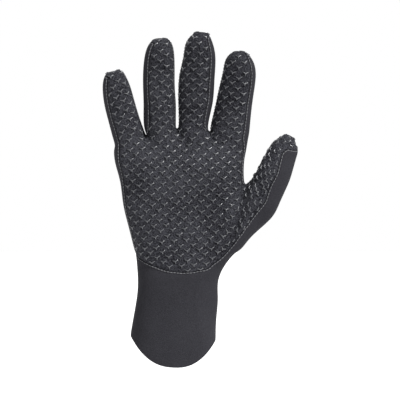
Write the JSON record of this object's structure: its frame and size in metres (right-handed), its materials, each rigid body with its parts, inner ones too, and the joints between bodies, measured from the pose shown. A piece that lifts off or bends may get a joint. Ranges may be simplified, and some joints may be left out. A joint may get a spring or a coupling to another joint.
{
  "type": "diving glove",
  "caption": "Right-hand neoprene diving glove, filled as worn, with a raised grip print on the palm, fingertips and thumb, a smooth back and a long cuff with a curved hem.",
  "frame": {"origin": "middle of the cuff mouth, level with the two corners of the hem, where the wrist goes in", "axes": "+Z from the cuff mouth towards the fingertips, -Y out of the palm, +X towards the thumb"},
  "size_m": [0.1547, 0.0505, 0.2646],
  "materials": {
    "grip_neoprene": "matte knitted face on neoprene with raised rubbery grip print",
    "smooth_neoprene": "matte knitted face on neoprene"
  },
  "bodies": {
    "root": {"palm_panel": "grip_neoprene", "back_and_cuff": "smooth_neoprene"}
  },
  "joints": []
}
